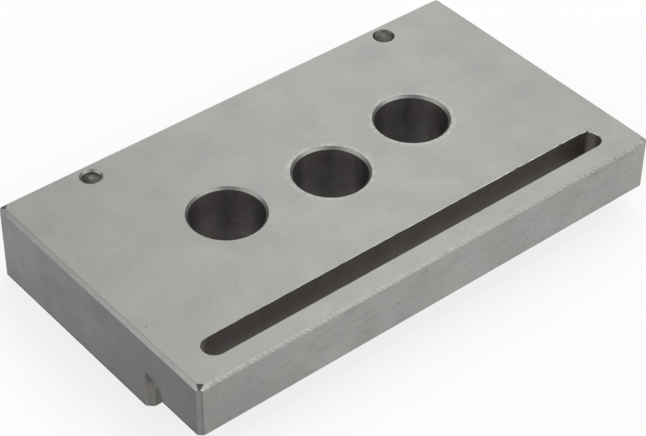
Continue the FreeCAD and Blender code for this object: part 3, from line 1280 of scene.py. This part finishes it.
    def opening_surface(self, face: bmesh.types.BMFace) -> Surface | None:
        """Find which surface of a bore, a pin's hole or the slot a face belongs to.

        Args:
            face: A face of the finished plate.

        Returns:
            Its surface, or None where it belongs to no opening.
        """
        middle = face.calc_center_median()
        slope = abs(face.normal.z)
        if slope >= self.strict_lean:
            return None
        is_wall = slope < self.lean
        bore_reach = self.bore_radius + self.bore_chamfer + self.opening_slack
        for x, y in self.bore_centres:
            if math.hypot(middle.x - x, middle.y - y) < bore_reach:
                return Surface.BORE_WALL if is_wall else Surface.BORE_CHAMFER
        hole_reach = self.pin_radius + self.pin_hole_chamfer + self.opening_slack
        for x, y in self.pin_centres:
            if math.hypot(middle.x - x, middle.y - y) < hole_reach:
                return Surface.DARKER_PIN_CHAMFER if x > 0 else Surface.BORE_CHAMFER
        slot_x, slot_y = self.slot_middle
        past_travel = max(0.0, abs(middle.x - slot_x) - self.slot_half_travel)
        if math.hypot(past_travel, middle.y - slot_y) < self.slot_half_width + self.slot_slack:
            # The slot's broken edge gets a painted highlight.
            return Surface.SLOT_WALL if is_wall else Surface.SLOT_EDGE
        return None

    def chamfer_surface(self, face: bmesh.types.BMFace) -> Surface | None:
        """Find which surface of the step's corner or of the top's chamfers a face belongs to.

        Args:
            face: A face of the finished plate.

        Returns:
            Its surface, or None where it belongs to none of them.
        """
        normal = face.normal
        middle = face.calc_center_median()
        if self.is_in_step_pocket(face):
            # The strip along the burr gets a painted highlight.
            is_burr_highlight = self.half_length - abs(middle.x) < self.burr_highlight_width
            return Surface.STEP_BURR_HIGHLIGHT if is_burr_highlight and normal.y < -self.lean else Surface.STEP_CORNER
        is_diagonal = min(abs(normal.x), abs(normal.y)) > self.flat_turn
        # The left end's little corner flats get painted shade.
        if is_diagonal and is_within(normal.z, *self.flat_lean):
            return Surface.SHADED_FLAT if middle.x < 0 else Surface.RUBBED_FLAT
        depth = self.thickness - middle.z
        is_low = depth >= self.top_chamfer + 3 * self.edge_radius
        if is_low or not is_within(normal.z, *self.chamfer_lean):
            return None
        if abs(normal.y) < abs(normal.x):
            return Surface.END_CHAMFER
        # The deeper parts of the chatter marks get painted glints.
        seed = math.copysign(self.chamfer_seed, middle.y)
        has_painted_glint = self.chatter.has_painted_glint(middle.x, depth / self.top_chamfer, seed)
        return Surface.CHATTER_GLINT if has_painted_glint else Surface.LONG_CHAMFER

    def outer_surface(self, face: bmesh.types.BMFace) -> Surface:
        """Find which of the flat outer surfaces or upright corners a face belongs to.

        Args:
            face: A face of the finished plate.

        Returns:
            Its surface.
        """
        normal = face.normal
        middle = face.calc_center_median()
        is_lip = middle.y < self.step_from_front - self.half_width
        height = middle.z - (self.lip_underside if is_lip else 0.0)
        is_end = abs(normal.x) > self.square_lean
        # The ends' lower strips get painted contact shadow.
        if is_end and is_within(height, 0.0, self.shadow_line_height):
            return Surface.LOWER_EDGE
        if abs(normal.z) > self.square_lean:
            return Surface.GROUND
        if is_end:
            return Surface.END
        if abs(normal.y) > self.strict_lean:
            # The step's wall under the lip gets painted shade.
            is_step = middle.z < self.lip_underside and middle.y < 0
            return Surface.STEP_WALL if is_step else Surface.LONG_SIDE
        if is_within(normal.y, *self.groove_lean) and middle.x < 0:
            return Surface.GROOVE
        return Surface.CORNER


@dataclass
class DowelPins:
    """The two dowel pins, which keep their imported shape."""

    nodes: tuple[str, ...] = ("left_dowel_pin", "right_dowel_pin")
    highlight_colours: tuple[str, ...] = ("#6E6D68", "#5C5B56")

    def dress(self, frame: dict[str, Any]) -> None:
        """Give each pin its finish, with the painted highlight on its own crown.
        """
        for name, painted_highlight in zip(self.nodes, self.highlight_colours):
            low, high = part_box(name)
            crown = ((low[0] + high[0]) / 2 / MM, (low[1] + high[1]) / 2 / MM)
            steel = replace(
                HARDENED_DOWEL, name=f"{HARDENED_DOWEL.name}_{name}",
                highlight_at=crown, highlight_colour=painted_highlight,
            )
            material = steel.material()
            for slot in frame["nodes"][name].material_slots:
                slot.material = material
            logger.info("pin: %s, crown at %.2f, %.2f", name, *crown)


@dataclass
class PhotoCamera:
    """The camera, where the photograph was taken from.

    The whole frame is a crop of a larger picture, so its centre lies off the lens axis.
    """

    stands_at: tuple[float, float, float] = (-218.40, -258.10, 293.28)
    pan_deg: float = 41.129       # from +Y towards +X
    pitch_deg: float = 40.072     # down
    roll_deg: float = 1.4415
    focal_length: float = 116.646
    sensor_width: float = 36.0
    image_width_px: int = 646
    image_height_px: int = 436
    lens_axis_px: tuple[float, float] = (355.5, 205.5)
    sees_m: tuple[float, float] = (0.01, 20.0)      # from nearest to farthest

    def build(self) -> bpy.types.Object:
        """Create the camera and make it the scene's own.

        Returns:
            The camera.
        """
        data = bpy.data.cameras.new("photo_camera")
        data.lens = self.focal_length
        data.sensor_width = self.sensor_width
        axis_x, axis_y = self.lens_axis_px
        data.shift_x = (self.image_width_px / 2 - axis_x) / self.image_width_px
        data.shift_y = (axis_y - self.image_height_px / 2) / self.image_width_px
        data.clip_start, data.clip_end = self.sees_m
        camera = bpy.data.objects.new("photo_camera", data)
        turn = (
            Matrix.Rotation(-math.radians(self.pan_deg), 4, "Z")
            @ Matrix.Rotation(math.radians(90 - self.pitch_deg), 4, "X")
            @ Matrix.Rotation(math.radians(self.roll_deg), 4, "Z")
        )
        camera.matrix_world = Matrix.Translation(Vector(self.stands_at) * MM) @ turn
        bpy.context.scene.collection.objects.link(camera)
        bpy.context.scene.camera = camera
        return camera


@dataclass
class SoftBox:
    """A flat soft box that faces the plate from one direction and fills an angle of its sky."""

    name: str
    azimuth_deg: float            # from +X towards +Y
    elevation_deg: float
    width_deg: float
    height_deg: float
    watts_per_m2: float
    distance_m: float = 3.0

    def build(self) -> bpy.types.Object:
        """Create the light, turned to face the plate.

        Returns:
            The light.
        """
        data = bpy.data.lights.new(self.name, "AREA")
        data.shape = "RECTANGLE"
        data.size = 2 * self.distance_m * math.tan(math.radians(self.width_deg / 2))
        data.size_y = 2 * self.distance_m * math.tan(math.radians(self.height_deg / 2))
        data.energy = self.watts_per_m2 * data.size * data.size_y
        light = bpy.data.objects.new(self.name, data)
        azimuth = math.radians(self.azimuth_deg)
        elevation = math.radians(self.elevation_deg)
        towards = Vector((
            math.cos(azimuth) * math.cos(elevation),
            math.sin(azimuth) * math.cos(elevation),
            math.sin(elevation),
        ))
        light.location = towards * self.distance_m
        light.rotation_mode = "QUATERNION"
        light.rotation_quaternion = towards.to_track_quat("Z", "Y")
        light.visible_camera = False
        bpy.context.scene.collection.objects.link(light)
        return light


@dataclass
class Studio:
    """Plain pale floor and plain soft light."""

    floor_width_m: float = 6.0
    floor_colour: str = "#F4F4F2"
    floor_glow: float = 0.75        # share of plain white in the floor where it is looked at
    sky_colour: str = "#FFFFFF"
    sky_strength: float = 0.35
    lights: list[SoftBox] = field(default_factory=lambda: [
        SoftBox("left_soft_box", 165.0, 27.5, 58.0, 53.0, 4.17),
        SoftBox("right_soft_box", 285.0, 27.5, 58.0, 53.0, 5.84),
        SoftBox("overhead_soft_box", 22.0, 58.0, 46.0, 40.0, 6.8),
        SoftBox("low_rear_soft_box", 60.0, 15.0, 28.0, 28.0, 8.5),
    ])

    def build(self) -> None:
        """Create the floor, the sky and the lights."""
        self.build_floor()
        self.build_sky()
        for light in self.lights:
            light.build()
        logger.info("studio: %d lights", len(self.lights))

    def build_floor(self) -> bpy.types.Object:
        """Create the paper that the plate lies on.

        Returns:
            The floor.
        """
        half = self.floor_width_m / 2
        corners = [(-half, -half, 0), (half, -half, 0), (half, half, 0), (-half, half, 0)]
        mesh = bpy.data.meshes.new("floor")
        mesh.from_pydata(corners, [], [(0, 1, 2, 3)])
        mesh.materials.append(self.paper())
        floor = bpy.data.objects.new("floor", mesh)
        bpy.context.scene.collection.objects.link(floor)
        return floor

    def paper(self) -> bpy.types.Material:
        """Build matt pale paper that looks whiter to the camera and in reflections than it lights.

        Returns:
            The floor's material.
        """
        material = bpy.data.materials.new("pale_paper")
        material.use_nodes = True
        tree = material.node_tree
        tree.nodes.clear()
        paper = add_node(tree, "ShaderNodeBsdfDiffuse", values={
            "Color": linear_colour(self.floor_colour),
        })
        white = add_node(tree, "ShaderNodeEmission", values={"Strength": 1.0})
        ray = add_node(tree, "ShaderNodeLightPath").outputs
        direct = add_node(tree, "ShaderNodeMath", {
            0: ray["Is Camera Ray"], 1: ray["Is Glossy Ray"],
        }, operation="MAXIMUM")
        looked_at = add_node(tree, "ShaderNodeMath", {
            0: direct.outputs[0], 1: ray["Is Transmission Ray"],
        }, operation="MAXIMUM")
        share = add_node(tree, "ShaderNodeMath", {0: looked_at.outputs[0]}, {
            1: self.floor_glow,
        }, operation="MULTIPLY")
        look = add_node(tree, "ShaderNodeMixShader", {
            0: share.outputs[0], 1: paper.outputs["BSDF"], 2: white.outputs["Emission"],
        })
        add_node(tree, "ShaderNodeOutputMaterial", {"Surface": look.outputs["Shader"]})
        return material

    def build_sky(self) -> None:
        """Light the scene evenly from all round."""
        world = bpy.data.worlds.new("studio")
        world.use_nodes = True
        background = world.node_tree.nodes["Background"]
        background.inputs["Color"].default_value = linear_colour(self.sky_colour)
        background.inputs["Strength"].default_value = self.sky_strength
        bpy.context.scene.world = world


def main() -> None:
    """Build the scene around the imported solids."""
    logging.basicConfig(level=logging.INFO)
    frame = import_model()
    bpy.context.scene.view_settings.view_transform = "Standard"
    BushingPlate().build(frame)
    DowelPins().dress(frame)
    Studio().build()
    PhotoCamera().build()


if __name__ == "__main__":
    main()
